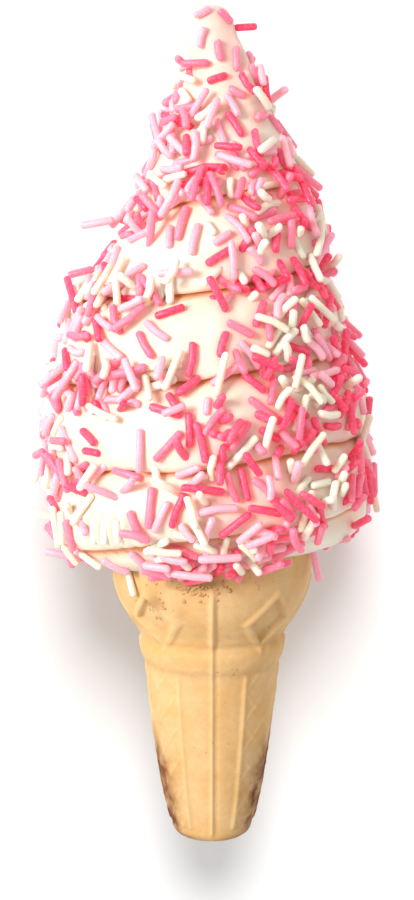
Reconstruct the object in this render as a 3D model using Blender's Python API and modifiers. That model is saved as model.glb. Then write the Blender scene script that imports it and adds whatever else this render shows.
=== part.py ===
"""Soft-serve ice cream in a moulded wafer cone, laid on its side.

The cone is modelled standing up, with its axis on Z and its front towards -Y, and everything
hangs from one empty that lays it down: the axis then runs along Y with the tip of the ice
cream at +Y, the front faces up, and the underside of the ice cream rests on z = 0.
"""

import math

import bmesh
import bpy
from mathutils import Vector, noise

MM = 0.001

# Wafer cone: radii and heights along the axis, in metres from its base.
WALL = 1.8 * MM
FLOOR_THICKNESS = 2.4 * MM
BASE_RADIUS = 9.8 * MM
BASE_ROUNDING = 2.8 * MM
RIM_HEIGHT = 78.0 * MM
RIM_RADIUS = 25.8 * MM
STEM = ((10.8, 7.0), (12.1, 13.0), (13.6, 23.0), (15.2, 36.0), (16.0, 43.4))
RING = ((17.3, 45.6), (17.7, 48.4), (17.3, 51.0), (17.8, 53.0))
CUP = ((19.7, 55.6), (21.5, 58.6), (22.7, 61.6), (23.7, 65.0))
CONE_STEPS = 40
CONE_TURN = 2.3

# Relief moulded into the wafer.
POCKET_HEIGHT = 57.2 * MM
POCKET_HALF_WIDTH = 6.0 * MM
POCKET_HALF_HEIGHT = 6.6 * MM
POCKET_DEPTH = 0.7 * MM
POCKET_ANGLES = (-139.0, -90.0, -41.0, 41.0, 90.0, 139.0)
FRAME_WIDTH = 1.3 * MM
FRAME_PROUD = 0.5 * MM
PANEL_ANGLES = (0.0, 180.0)
PANEL_SPAN = 58.0
PANEL_BOTTOM = 5.0 * MM
PANEL_TOP = 42.0 * MM
PANEL_DEPTH = 0.5 * MM
SEAM_WIDTH = 1.2 * MM
SEAM_PROUD = 0.6 * MM

# Ice cream: one rope wound upwards to the right in a screw of this pitch.
PITCH = 19.6 * MM
FRONT_CREASE = 97.3 * MM
LIP_HEIGHT = 69.0 * MM
LIP_WAVE = 4.0 * MM
LIP_WAVE_ANGLE = 25.0
LIP_WAVE_FADES = (80.0 * MM, 97.0 * MM)
TUCK_DEPTH = 3.5 * MM
TUCK_ANGLE = -15.0
TUCK_EDGE = 2.0 * MM
TIP_HEIGHT = 200.0 * MM
NUB_HEIGHT = 198.6 * MM
ROPE_STEPS = 40
ROPE_TURNS = 9
THREAD_RADIUS = 100.0 * MM
UNEVENNESS = 0.7 * MM

# Height and value, both in millimetres: mean radius, lean to the right, depth of the creases.
SWIRL_RADIUS = ((67, 25.5), (69, 28.5), (71, 33), (74, 36.3), (78, 38), (85, 38.9), (98, 38.6), (110, 38.0),
                (120, 34.9), (131, 32.6), (138, 28.0), (146, 25.0), (155, 21.6), (163, 17.4),
                (172, 13.4), (180, 9.9), (186, 7.1), (191, 6.5), (195, 4.7), (198, 2.3), (200, 1))
SWIRL_LEAN = ((66, -2.0), (85, -0.3), (100, -1.9), (116, -1.6), (127, -3.0), (140, 0.2),
              (150, 2.8), (165, 2.4), (186, 2.7), (194, 0.5), (200, 0.2))
CREASE_DEPTH = ((66, 2.6), (110, 2.8), (135, 3.4), (150, 2.6), (165, 1.7), (180, 1.1), (190, 0.4),
                (200, 0.1))

# One coil of the rope, from crease to crease: share of the crease depth, share of the pitch.
COIL = ((-1.0, 0.0), (-0.55, -0.015), (-0.16, 0.06), (0.0, 0.18), (0.0, 0.33), (-0.08, 0.49),
        (-0.2, 0.65), (-0.36, 0.8), (-0.62, 0.92), (-1.0, 1.0))

# Ridge that the nozzle left along the drawn-out tail: height, and its angle from the front.
RIDGE_ANGLE = ((150, 18), (160, 24), (178, 34), (190, 57), (200, 60))
RIDGE_HEIGHT = ((148, 0), (158, 1.1), (184, 1.3), (193, 0.5), (198, 0))
RIDGE_WIDTH = 15.0

# How the whole thing lies, and the gap between the two pieces.
REST_DEPTH = 36.5 * MM
GAP = 0.3 * MM
BOX = 300.0 * MM


def clear_scene():
    for item in list(bpy.data.objects):
        bpy.data.objects.remove(item, do_unlink=True)


def new_collection(name):
    collection = bpy.data.collections.new(name)
    bpy.context.scene.collection.children.link(collection)
    return collection


def new_material(name, colour, roughness):
    material = bpy.data.materials.new(name)
    material.use_nodes = True
    shader = material.node_tree.nodes["Principled BSDF"]
    shader.inputs["Base Color"].default_value = (*colour, 1.0)
    shader.inputs["Roughness"].default_value = roughness
    shader.inputs["Metallic"].default_value = 0.0
    return material


def new_object(name, mesh, collection, parent):
    item = bpy.data.objects.new(name, mesh)
    item.parent = parent
    collection.objects.link(item)
    return item


def as_cutter(item):
    item.hide_render = True
    item.display_type = "WIRE"
    return item


def freeze(item):
    """Replace the object's mesh with the result of its modifiers."""
    graph = bpy.context.evaluated_depsgraph_get()
    graph.update()
    mesh = bpy.data.meshes.new_from_object(item.evaluated_get(graph))
    item.modifiers.clear()
    item.data = mesh


def smooth(stations, at):
    """Value of a smooth curve through (position, value) stations."""
    if at <= stations[0][0]:
        return stations[0][1]
    if at >= stations[-1][0]:
        return stations[-1][1]
    last = len(stations) - 1
    index = next(i for i in range(last) if stations[i + 1][0] >= at)

    def slope(i):
        before = stations[max(i - 1, 0)]
        after = stations[min(i + 1, last)]
        return (after[1] - before[1]) / (after[0] - before[0])

    (start, low), (end, high) = stations[index], stations[index + 1]
    span = end - start
    t = (at - start) / span
    rise = 3 * t**2 - 2 * t**3
    leave = t**3 - 2 * t**2 + t
    arrive = t**3 - t**2
    return low + (high - low) * rise + span * (leave * slope(index) + arrive * slope(index + 1))


def smooth_mm(stations, height):
    """The same for stations in millimetres, at a height in metres."""
    return smooth(stations, height / MM) * MM


def outer_wall():
    """Outline of the wafer's outer wall from its base to its rim, as (radius, height)."""
    rounding = []
    for degrees in (-90, -60, -30, 0):
        angle = math.radians(degrees)
        radius = BASE_RADIUS + BASE_ROUNDING * (math.cos(angle) - 1)
        rounding.append((radius, BASE_ROUNDING * (math.sin(angle) + 1)))
    stations = [(r * MM, z * MM) for r, z in (*STEM, *RING, *CUP)]
    return rounding + stations + [(RIM_RADIUS, RIM_HEIGHT)]


def wall_radius(height):
    """Radius of the outer wall at a height."""
    outline = outer_wall()
    for (low_radius, low), (high_radius, high) in zip(outline, outline[1:]):
        if height <= high:
            share = (height - low) / (high - low)
            return low_radius + (high_radius - low_radius) * share
    return RIM_RADIUS


def inner_wall(offset):
    """Outline of the inner wall from the floor to the rim, moved inwards by an offset."""
    heights = [FLOOR_THICKNESS + offset, 7 * MM, 23 * MM, 43.4 * MM, 53 * MM, 59 * MM, 65 * MM]
    return [(wall_radius(z) - WALL - offset, z) for z in (*heights, RIM_HEIGHT)]


def turned(name, outline, collection, parent, steps=CONE_STEPS, closed=False):
    """Turn an outline round Z. It is given up the inner side and down the outer side."""
    mesh = bpy.data.meshes.new(name)
    edges = [(i, i + 1) for i in range(len(outline) - 1)]
    if closed:
        edges.append((len(outline) - 1, 0))
    mesh.from_pydata([(r, 0.0, z) for r, z in outline], edges, [])
    item = new_object(name, mesh, collection, parent)
    screw = item.modifiers.new("Turn", "SCREW")
    screw.axis = "Z"
    screw.angle = math.tau
    screw.steps = steps
    screw.render_steps = steps
    screw.use_merge_vertices = True
    screw.merge_threshold = 0.00001
    item.rotation_euler.z = math.radians(CONE_TURN)
    return item


def boolean(item, name, operation, operand):
    modifier = item.modifiers.new(name, "BOOLEAN")
    modifier.operation = operation
    modifier.solver = "EXACT"
    modifier.object = operand


def skin(name, inward, outward, bottom, top, collection, parent):
    """A turned layer that follows the outer wall, to limit a shape to a depth."""
    heights = [bottom] + [z for _, z in outer_wall() if bottom < z < top] + [top]
    up = [(wall_radius(z) - inward, z) for z in heights]
    down = [(wall_radius(z) + outward, z) for z in reversed(heights)]
    return turned(name, up + down, collection, parent, closed=True)


def diamond_prism(name, angle, grow, collection, parent):
    """An upright diamond, extruded outwards from the axis at an angle from the front."""
    outline = (
        (0.0, -POCKET_HALF_HEIGHT - grow),
        (POCKET_HALF_WIDTH + grow, 0.0),
        (0.0, POCKET_HALF_HEIGHT + grow),
        (-POCKET_HALF_WIDTH - grow, 0.0),
    )
    mesh = bpy.data.meshes.new(name)
    bm = bmesh.new()
    corners = [bm.verts.new((x, -RIM_RADIUS / 2, z)) for x, z in outline]
    near = bm.faces.new(corners)
    far = bmesh.ops.extrude_face_region(bm, geom=[near])["geom"]
    moved = [v for v in far if isinstance(v, bmesh.types.BMVert)]
    bmesh.ops.translate(bm, verts=moved, vec=(0.0, -RIM_RADIUS, 0.0))
    bmesh.ops.recalc_face_normals(bm, faces=bm.faces)
    bm.to_mesh(mesh)
    bm.free()
    item = new_object(name, mesh, collection, parent)
    item.location.z = POCKET_HEIGHT
    item.rotation_euler.z = math.radians(angle)
    return as_cutter(item)


def panel_wedge(name, angle, collection, parent):
    """A wedge from the axis outwards, as wide as a plain panel of the stem."""
    half = math.radians(PANEL_SPAN / 2)
    mesh = bpy.data.meshes.new(name)
    bm = bmesh.new()
    reach = 2 * RIM_RADIUS
    outline = ((0.0, 0.0), (reach * math.tan(half), -reach), (-reach * math.tan(half), -reach))
    corners = [bm.verts.new((x, y, PANEL_BOTTOM)) for x, y in outline]
    bottom = bm.faces.new(corners)
    far = bmesh.ops.extrude_face_region(bm, geom=[bottom])["geom"]
    moved = [v for v in far if isinstance(v, bmesh.types.BMVert)]
    bmesh.ops.translate(bm, verts=moved, vec=(0.0, 0.0, PANEL_TOP - PANEL_BOTTOM))
    bmesh.ops.recalc_face_normals(bm, faces=bm.faces)
    bm.to_mesh(mesh)
    bm.free()
    item = new_object(name, mesh, collection, parent)
    item.rotation_euler.z = math.radians(angle)
    return as_cutter(item)


def seam_fin(name, angle, collection, parent):
    """The thin flash where the two halves of the mould met."""
    heights = [BASE_ROUNDING] + [r[1] * MM for r in (*STEM, *RING, *CUP)]
    outside = [(wall_radius(z) + SEAM_PROUD, z) for z in heights]
    inside = [(wall_radius(z) - WALL / 2, z) for z in reversed(heights)]
    mesh = bpy.data.meshes.new(name)
    mesh.from_pydata([(0.0, -r, z) for r, z in outside + inside], [],
                     [list(range(len(outside) + len(inside)))])
    item = new_object(name, mesh, collection, parent)
    item.rotation_euler.z = math.radians(angle)
    thickness = item.modifiers.new("Thickness", "SOLIDIFY")
    thickness.thickness = SEAM_WIDTH
    thickness.offset = 0.0
    return as_cutter(item)


def build_wafer(parts, cutters, parent):
    """The wafer: a turned shell with framed diamond pockets, seams and plain panels."""
    rim_arc = []
    for degrees in (180, 120, 60, 0):
        angle = math.radians(degrees)
        radius = RIM_RADIUS - WALL / 2 + WALL / 2 * math.cos(angle)
        rim_arc.append((radius, RIM_HEIGHT - WALL / 2 + WALL / 2 * math.sin(angle)))
    inside = [(0.0, FLOOR_THICKNESS)] + inner_wall(0.0)[:-1]
    outside = [p for p in reversed(outer_wall()[:-1])] + [(0.0, 0.0)]
    wafer = turned("wafer_cone", inside + rim_arc + outside, parts, parent)
    for number, angle in enumerate(PANEL_ANGLES):
        panel = panel_wedge(f"panel_{number}", angle, cutters, parent)
        layer = skin(f"panel_layer_{number}", PANEL_DEPTH, WALL, PANEL_BOTTOM - MM, PANEL_TOP + MM,
                     cutters, parent)
        boolean(panel, "Depth", "INTERSECT", as_cutter(layer))
        boolean(wafer, f"Panel {number}", "DIFFERENCE", panel)
    low = POCKET_HEIGHT - POCKET_HALF_HEIGHT - 2 * FRAME_WIDTH
    high = POCKET_HEIGHT + POCKET_HALF_HEIGHT + 2 * FRAME_WIDTH
    frame_layer = as_cutter(skin("frame_layer", WALL / 2, FRAME_PROUD, low, high, cutters, parent))
    pocket_layer = as_cutter(skin("pocket_layer", POCKET_DEPTH, 3 * WALL, low, high, cutters, parent))
    for number, angle in enumerate(POCKET_ANGLES):
        frame = diamond_prism(f"frame_{number}", angle, FRAME_WIDTH, cutters, parent)
        boolean(frame, "Height", "INTERSECT", frame_layer)
        boolean(wafer, f"Frame {number}", "UNION", frame)
    for number, angle in enumerate(PANEL_ANGLES):
        seam = seam_fin(f"seam_{number}", angle, cutters, parent)
        boolean(wafer, f"Seam {number}", "UNION", seam)
    for number, angle in enumerate(POCKET_ANGLES):
        pocket = diamond_prism(f"pocket_{number}", angle, 0.0, cutters, parent)
        boolean(pocket, "Depth", "INTERSECT", pocket_layer)
        boolean(wafer, f"Pocket {number}", "DIFFERENCE", pocket)
    wafer.data.materials.append(new_material("baked_wafer", (0.78, 0.47, 0.2), 0.75))
    return wafer


def rope_thread(collection, parent):
    """The rope as a plain screw thread, with its creases where the real ones are."""
    start = FRONT_CREASE + PITCH / 4 - 3 * PITCH
    outline = [(THREAD_RADIUS + depth * PITCH, start + share * PITCH) for depth, share in COIL]
    mesh = bpy.data.meshes.new("ice_cream")
    edges = [(i + 1, i) for i in range(len(outline) - 1)]
    mesh.from_pydata([(r, 0.0, z) for r, z in outline], edges, [])
    item = new_object("ice_cream", mesh, collection, parent)
    screw = item.modifiers.new("Thread", "SCREW")
    screw.axis = "Z"
    screw.angle = math.tau
    screw.screw_offset = PITCH
    screw.iterations = ROPE_TURNS
    screw.steps = ROPE_STEPS
    screw.render_steps = ROPE_STEPS
    freeze(item)
    return item


def cut_ends(bm):
    """Cut the thread square at the lip and at the nub, and close both ends."""
    for height, side in ((LIP_HEIGHT, -1.0), (NUB_HEIGHT, 1.0)):
        geometry = bm.verts[:] + bm.edges[:] + bm.faces[:]
        bmesh.ops.bisect_plane(bm, geom=geometry, plane_co=(0.0, 0.0, height),
                               plane_no=(0.0, 0.0, side), clear_outer=True, dist=0.00001)
        rim = [e for e in bm.edges if e.is_boundary and abs(e.verts[0].co.z - height) < GAP / 3
               and abs(e.verts[1].co.z - height) < GAP / 3]
        bmesh.ops.contextual_create(bm, geom=rim)


def shape_swirl(point):
    """Move a point of the plain thread to where it lies on the real swirl."""
    depth = (point.xy.length - THREAD_RADIUS) / PITCH
    height = point.z
    angle = math.atan2(point.x, -point.y)
    radius = smooth_mm(SWIRL_RADIUS, height) + depth * smooth_mm(CREASE_DEPTH, height)
    ridge = smooth(RIDGE_ANGLE, height / MM)
    away = (math.degrees(angle) - ridge + 180) % 360 - 180
    radius += smooth_mm(RIDGE_HEIGHT, height) * math.exp(-((away / RIDGE_WIDTH) ** 2))
    place = Vector((radius * math.sin(angle), -radius * math.cos(angle), height))
    fade = min(1.0, radius / (15 * MM))
    radius += fade * UNEVENNESS * noise.noise(place * 45)
    radius += fade * UNEVENNESS / 2 * noise.noise(place * 110)
    crease = FRONT_CREASE - PITCH + PITCH * angle / math.tau
    below = min(1.0, max(0.0, (crease - height) / TUCK_EDGE))
    front = max(0.0, math.cos(angle - math.radians(TUCK_ANGLE)))
    radius -= TUCK_DEPTH * below * front**2
    full, none = LIP_WAVE_FADES
    low = min(1.0, max(0.0, (none - height) / (none - full)))
    height += LIP_WAVE * low * math.cos(angle - math.radians(LIP_WAVE_ANGLE))
    lean = smooth_mm(SWIRL_LEAN, height)
    return Vector((radius * math.sin(angle) + lean, -radius * math.cos(angle), height))


def build_ice_cream(parts, cutters, parent):
    """The swirl, hollowed for the wafer's rim, with the plug that fills the wafer."""
    cream = rope_thread(parts, parent)
    bm = bmesh.new()
    bm.from_mesh(cream.data)
    bmesh.ops.remove_doubles(bm, verts=bm.verts, dist=0.00001)
    cut_ends(bm)
    for vert in bm.verts:
        vert.co = shape_swirl(vert.co)
    cap = max(bm.faces, key=lambda f: f.calc_center_median().z)
    crown = bmesh.ops.poke(bm, faces=[cap])["verts"][0]
    crown.co.z = TIP_HEIGHT
    bmesh.ops.recalc_face_normals(bm, faces=bm.faces)
    bmesh.ops.triangulate(bm, faces=bm.faces)
    bm.to_mesh(cream.data)
    bm.free()

    mouth_top = RIM_HEIGHT + GAP
    mouth_bottom = LIP_HEIGHT - 2 * LIP_WAVE
    levels = [mouth_top, CUP[-1][1] * MM, CUP[-2][1] * MM, mouth_bottom]
    mouth = [(0.0, mouth_top)] + [(wall_radius(z) + GAP, z) for z in levels] + [(0.0, mouth_bottom)]
    recess = as_cutter(turned("mouth", mouth, cutters, parent))
    boolean(cream, "Mouth", "DIFFERENCE", recess)

    fill_top = RIM_HEIGHT + 6 * MM
    filling = inner_wall(GAP)
    top_radius = filling[-1][0]
    outline = [(0.0, fill_top), (top_radius, fill_top)] + filling[::-1]
    outline.append((0.0, FLOOR_THICKNESS + GAP))
    plug = as_cutter(turned("plug", outline, cutters, parent))
    boolean(cream, "Filling", "UNION", plug)

    bpy.ops.mesh.primitive_cube_add(size=BOX)
    table = bpy.context.object
    table.name = "table"
    for collection in table.users_collection:
        collection.objects.unlink(table)
    cutters.objects.link(table)
    table.parent = parent
    table.location = (0.0, REST_DEPTH + BOX / 2, TIP_HEIGHT / 2)
    boolean(cream, "Underside", "DIFFERENCE", as_cutter(table))
    cream.data.materials.append(new_material("vanilla_ice_cream", (0.93, 0.85, 0.72), 0.5))
    return cream


def shade(item):
    """Round surfaces look smooth, and creases and cut faces stay sharp."""
    item.data.shade_smooth()
    item.data.set_sharp_from_angle(angle=math.radians(40))


def lay_down(parent, pieces):
    """Turn the axis to +Y with the front up, then centre the box on the origin."""
    parent.rotation_euler = (-math.pi / 2, 0.0, 0.0)
    parent.location = (0.0, 0.0, REST_DEPTH)
    bpy.context.view_layer.update()
    graph = bpy.context.evaluated_depsgraph_get()
    points = []
    for piece in pieces:
        solid = piece.evaluated_get(graph)
        points += [solid.matrix_world @ v.co for v in solid.data.vertices]
    parent.location.x = -(max(p.x for p in points) + min(p.x for p in points)) / 2
    parent.location.y = -(max(p.y for p in points) + min(p.y for p in points)) / 2
    bpy.context.view_layer.update()


def build():
    clear_scene()
    parts = new_collection("ice_cream_cone")
    cutters = new_collection("cutters")
    laid_down = bpy.data.objects.new("laid_down", None)
    parts.objects.link(laid_down)
    wafer = build_wafer(parts, cutters, laid_down)
    cream = build_ice_cream(parts, cutters, laid_down)
    shade(wafer)
    shade(cream)
    lay_down(laid_down, (wafer, cream))


build()
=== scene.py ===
"""Soft-serve ice cream with sugar strands in a moulded wafer cone, lying on its side."""

import math

import bpy
import numpy as np
from mathutils import Matrix, Vector, noise
from mathutils.bvhtree import BVHTree
from mathutils.kdtree import KDTree


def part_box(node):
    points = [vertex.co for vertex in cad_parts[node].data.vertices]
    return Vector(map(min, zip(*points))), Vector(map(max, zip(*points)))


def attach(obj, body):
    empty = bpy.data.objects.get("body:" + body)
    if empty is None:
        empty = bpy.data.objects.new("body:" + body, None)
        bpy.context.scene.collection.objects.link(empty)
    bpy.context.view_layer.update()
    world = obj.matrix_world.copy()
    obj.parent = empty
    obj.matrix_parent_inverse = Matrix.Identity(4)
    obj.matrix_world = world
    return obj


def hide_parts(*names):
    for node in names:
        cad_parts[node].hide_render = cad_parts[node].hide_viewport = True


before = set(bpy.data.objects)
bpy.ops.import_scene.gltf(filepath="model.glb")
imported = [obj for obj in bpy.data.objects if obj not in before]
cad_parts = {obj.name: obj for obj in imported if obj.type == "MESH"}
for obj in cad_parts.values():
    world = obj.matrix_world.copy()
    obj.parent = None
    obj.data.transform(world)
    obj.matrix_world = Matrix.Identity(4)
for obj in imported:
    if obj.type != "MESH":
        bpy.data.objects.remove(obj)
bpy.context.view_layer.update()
bpy.ops.object.select_all(action="DESELECT")


# ---------------------------------------------------------------------------------------------
# Wafer cone: one thin shell of pale batter, baked between two half moulds, so it has a seam
# down its front and back, six framed diamond pockets round its cup, a ring at its waist and
# ribs down its stem. It is crisp and matt, and browned where the mould was hottest. Its colour
# also holds painted shade along the two sides of the stem and in the grooves at its waist, and
# a painted highlight on its raised relief.

MM = 0.001
WALL = 1.8
FLOOR_THICKNESS = 2.4
BASE_ROUNDING = 2.8
RIM_HEIGHT = 78.0
OUTER_WALL = ((2.8, 9.8), (7, 10.8), (13, 12.1), (23, 13.6), (36, 15.2), (42.6, 15.95),
              (46.3, 17.3), (48.6, 17.7), (50.6, 17.2), (53, 17.9), (55.6, 19.7), (58.6, 21.5),
              (61.6, 22.7), (65, 23.7), (78, 25.8))
WAFER_STEPS = 340
WALL_ROWS = 178
INSIDE_ROWS = 26

CUP_STARTS = (49, 53)
POCKET_ANGLES = (-139, -90, -41, 41, 90, 139)
POCKET_HEIGHT = 57.3
POCKET_HALF_WIDTH = 5.6
POCKET_HALF_HEIGHT = 6.1
POCKET_DEPTH = 1.0
FRAME_PROUD = 0.5
FRAME_WIDTH = 0.9
FRAME_SLOPE = 1.1
SEAM_PROUD = 0.5
SEAM_WIDTH = 0.40
SEAM_STARTS = (0.5, 3.0)
SEAM_ENDS = (64, 68)
SEAM_WIDER_ON_CUP = 0.22
SEAM_PROUDER_ON_CUP = 0.7
GROOVE_DEPTH = 0.13
GROOVE_WIDTH = 0.5
GROOVE_FROM_SEAM = 1.2
GROOVE_STARTS = (1, 4)
GROOVE_ENDS = (62, 66)
# The grooves above and below the ring: depth, height, width.
RING_GROOVES = ((0.3, 50.8, 0.8), (0.08, 44.0, 0.7))
RIB_ANGLES = (-150, -90, -30, 30, 90, 150)
RIB_PROUD = 0.45
RIB_WIDTH = 0.6
PANEL_BOTTOM = 4.0
PANEL_TOP = 42.5
PANEL_TOP_FADE = 1.5
PANEL_START = math.radians(30)
PANEL_SPAN = math.radians(60)
LATTICE_PROUD = 0.18
LATTICE_WIDTH = 0.42
LATTICE_PITCH = 7.8
LATTICE_RISE = 17.8
# The lines slant, so across them they lie closer than their pitch.
LATTICE_ACROSS = 0.64
LATTICE_END = 0.08
# The lattice is fainter at the two sides.
WORN_ANGLE = math.radians(90)
WORN_WIDTH = 0.35
WORN_SHARE = 0.6
# How uneven the baked wall is: depth in mm, fineness, seed.
WALL_WAVES = ((0.16, 0.11, 1), (0.05, 0.6, 2))

# Painted shade along the two sides of the stem, and browning by the mould at the base: how much,
# and where it fades, with heights in mm. The last caps browning and painted shade together.
EDGE_SHADE = 2.1
EDGE_SHADE_ANGLE = math.radians(87)
EDGE_SHADE_WIDTH = 0.58
EDGE_SHADE_FADE = (12, 32)
HOT_BASE = 0.6
HOT_BASE_FADES = (0.2, 2.6)
DARKEST_TOAST_AND_SHADE = 1.2
# Browned places: how much, height, half-height, angle and half-width in radians.
BROWNED_SPOTS = ((0.62, 67.8, 1.9, -0.15, 0.33), (0.5, 63, 3.0, -0.62, 0.11),
                 (0.28, 60, 2.5, -0.33, 0.07))
# Painted shade in the two grooves round the waist: how much, height, half-height.
GROOVE_SHADE_LINES = ((0.14, 50.8, 1.3), (0.14, 44.2, 1.0))

wafer_low, wafer_high = (Vector(corner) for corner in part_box("wafer_cone"))
base = Vector(((wafer_low.x + wafer_high.x) / 2, wafer_low.y, (wafer_low.z + wafer_high.z) / 2))


def lying(radius, angle, height):
    """Points round the cone's axis: radius and height in mm, angle from the side that faces up."""
    x = base.x + radius * np.sin(angle) * MM
    y = base.y + height * MM
    z = base.z + radius * np.cos(angle) * MM
    return np.stack([x, y, z], axis=-1)


def curve(stations, at):
    """Smooth curve through (position, value) stations, read at many positions."""
    x, y = np.array(stations, dtype=float).T
    slope = np.empty_like(y)
    slope[1:-1] = (y[2:] - y[:-2]) / (x[2:] - x[:-2])
    slope[0] = (y[1] - y[0]) / (x[1] - x[0])
    slope[-1] = (y[-1] - y[-2]) / (x[-1] - x[-2])
    at = np.clip(at, x[0], x[-1])
    i = np.clip(np.searchsorted(x, at, side="right") - 1, 0, len(x) - 2)
    span = x[i + 1] - x[i]
    t = (at - x[i]) / span
    bend = (t**3 - 2 * t**2 + t) * slope[i] + (t**3 - t**2) * slope[i + 1]
    return y[i] + (y[i + 1] - y[i]) * (3 * t**2 - 2 * t**3) + span * bend


def ease(value, start, end):
    """0 before start, 1 past end, and smooth between them."""
    t = np.clip((value - start) / (end - start), 0.0, 1.0)
    return t * t * (3 - 2 * t)


def bump(distance, width):
    """1 at no distance, falling smoothly to about a third at the width."""
    return np.exp(-((distance / width) ** 2))


def turn(angle):
    """An angle brought within half a turn of zero."""
    return (angle + math.pi) % math.tau - math.pi


def grain(points, scale, seed):
    """Smooth random values, about -1 to 1, at points in metres, with features 1/scale mm long."""
    shift = Vector((seed * 7.1, seed * 3.7, seed * 5.3))
    return np.array([noise.noise(Vector(p) * (scale / MM) + shift) for p in points])


def mesh_points(item):
    points = np.empty(len(item.data.vertices) * 3)
    item.data.vertices.foreach_get("co", points)
    return points.reshape(-1, 3)


def move_points(item, points):
    item.data.vertices.foreach_set("co", np.asarray(points, dtype=float).ravel())
    item.data.update()


def edit(item, *steps):
    """Run edit-mode operators on everything in one object."""
    bpy.ops.object.select_all(action="DESELECT")
    item.select_set(True)
    bpy.context.view_layer.objects.active = item
    bpy.ops.object.mode_set(mode="EDIT")
    bpy.ops.mesh.select_all(action="SELECT")
    for step in steps:
        step()
    bpy.ops.object.mode_set(mode="OBJECT")
    item.select_set(False)


def merge():
    bpy.ops.mesh.remove_doubles(threshold=0.000002)


def face_outwards():
    bpy.ops.mesh.normals_make_consistent(inside=False)


def sheet_of(name, around, along):
    """A grid to wrap round the axis, with each vertex's share of the way round and along."""
    bpy.ops.mesh.primitive_grid_add(x_subdivisions=around, y_subdivisions=along, size=1.0)
    item = bpy.context.object
    item.name = name
    item.data.name = name
    share = mesh_points(item)[:, :2] + 0.5
    return item, share[:, 0], share[:, 1]


def store(item, name, values):
    """Keep one number for each vertex, for the material to read."""
    attribute = item.data.attributes.new(name, "FLOAT", "POINT")
    attribute.data.foreach_set("value", np.asarray(values, dtype=float))


def wafer_relief(angle, height, radius):
    """How far the moulded relief stands out of the plain wall, in mm."""
    relief = np.zeros_like(angle)
    in_cup = ease(height, *CUP_STARTS)
    for seam in (0.0, math.pi):
        away = radius * turn(angle - seam)
        fin = bump(away, SEAM_WIDTH + SEAM_WIDER_ON_CUP * in_cup)
        fin *= SEAM_PROUD * (1 + SEAM_PROUDER_ON_CUP * in_cup)
        relief += fin * ease(height, *SEAM_STARTS) * (1 - ease(height, *SEAM_ENDS))
        groove = GROOVE_DEPTH * bump(away - GROOVE_FROM_SEAM, GROOVE_WIDTH)
        relief -= groove * ease(height, *GROOVE_STARTS) * (1 - ease(height, *GROOVE_ENDS))
    for degrees in POCKET_ANGLES:
        across = radius * turn(angle - math.radians(degrees))
        up = height - POCKET_HEIGHT
        edge = np.abs(across) / POCKET_HALF_WIDTH + np.abs(up) / POCKET_HALF_HEIGHT - 1
        edge *= 1 / math.hypot(1 / POCKET_HALF_WIDTH, 1 / POCKET_HALF_HEIGHT)
        relief -= POCKET_DEPTH * ease(-edge, -0.1, 0.8)
        frame_top = FRAME_PROUD * ease(edge, -0.5, 0.1)
        relief += frame_top * (1 - ease(edge, FRAME_WIDTH, FRAME_WIDTH + FRAME_SLOPE))
    relief -= sum(depth * bump(height - level, width) for depth, level, width in RING_GROOVES)
    on_stem = ease(height, PANEL_BOTTOM - 1, PANEL_BOTTOM)
    on_stem *= 1 - ease(height, PANEL_TOP, PANEL_TOP + PANEL_TOP_FADE)
    for degrees in RIB_ANGLES:
        away = radius * turn(angle - math.radians(degrees))
        relief += RIB_PROUD * bump(away, RIB_WIDTH) * on_stem
    for side in (1, -1):
        share = turn(side * angle - PANEL_START) / PANEL_SPAN
        inside = ease(share, 0.0, LATTICE_END) * (1 - ease(share, 2 - LATTICE_END, 2.0)) * on_stem
        inside *= 1 - WORN_SHARE * bump(turn(side * angle - WORN_ANGLE), WORN_WIDTH)
        for lean in (1, -1):
            place = (height - lean * LATTICE_RISE * share) / LATTICE_PITCH
            away = (place - np.round(place)) * LATTICE_PITCH * LATTICE_ACROSS
            relief += LATTICE_PROUD * bump(away, LATTICE_WIDTH) * inside
    return relief


def wafer_outline():
    """The shell's outline from the middle of its base, up outside, over the rim and down inside."""
    base_radius = OUTER_WALL[0][1]
    flat = [(r, 0.0, 0.0) for r in np.linspace(0, base_radius - BASE_ROUNDING, 8)]
    arc = [math.radians(degrees) for degrees in range(-78, 0, 13)]
    round_edge = [(base_radius + BASE_ROUNDING * (math.cos(a) - 1),
                   BASE_ROUNDING * (1 + math.sin(a)), 0.3) for a in arc]
    heights = np.linspace(BASE_ROUNDING, RIM_HEIGHT - WALL / 2, WALL_ROWS)
    wall = [(r, z, 1.0) for r, z in zip(curve(OUTER_WALL, heights), heights)]
    lip = [math.radians(degrees) for degrees in range(22, 180, 22)]
    middle = OUTER_WALL[-1][1] - WALL / 2
    rim = [(middle + WALL / 2 * math.cos(a), RIM_HEIGHT + WALL / 2 * (math.sin(a) - 1), 0.0)
           for a in lip]
    heights = np.linspace(RIM_HEIGHT - WALL / 2, FLOOR_THICKNESS, INSIDE_ROWS)
    inside = [(r - WALL, z, 0.0) for r, z in zip(curve(OUTER_WALL, heights), heights)]
    floor = [(r, FLOOR_THICKNESS, 0.0) for r in (inside[-1][0] * 0.6, inside[-1][0] * 0.3, 0.0)]
    return np.array(flat + round_edge + wall + rim + inside + floor)


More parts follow.
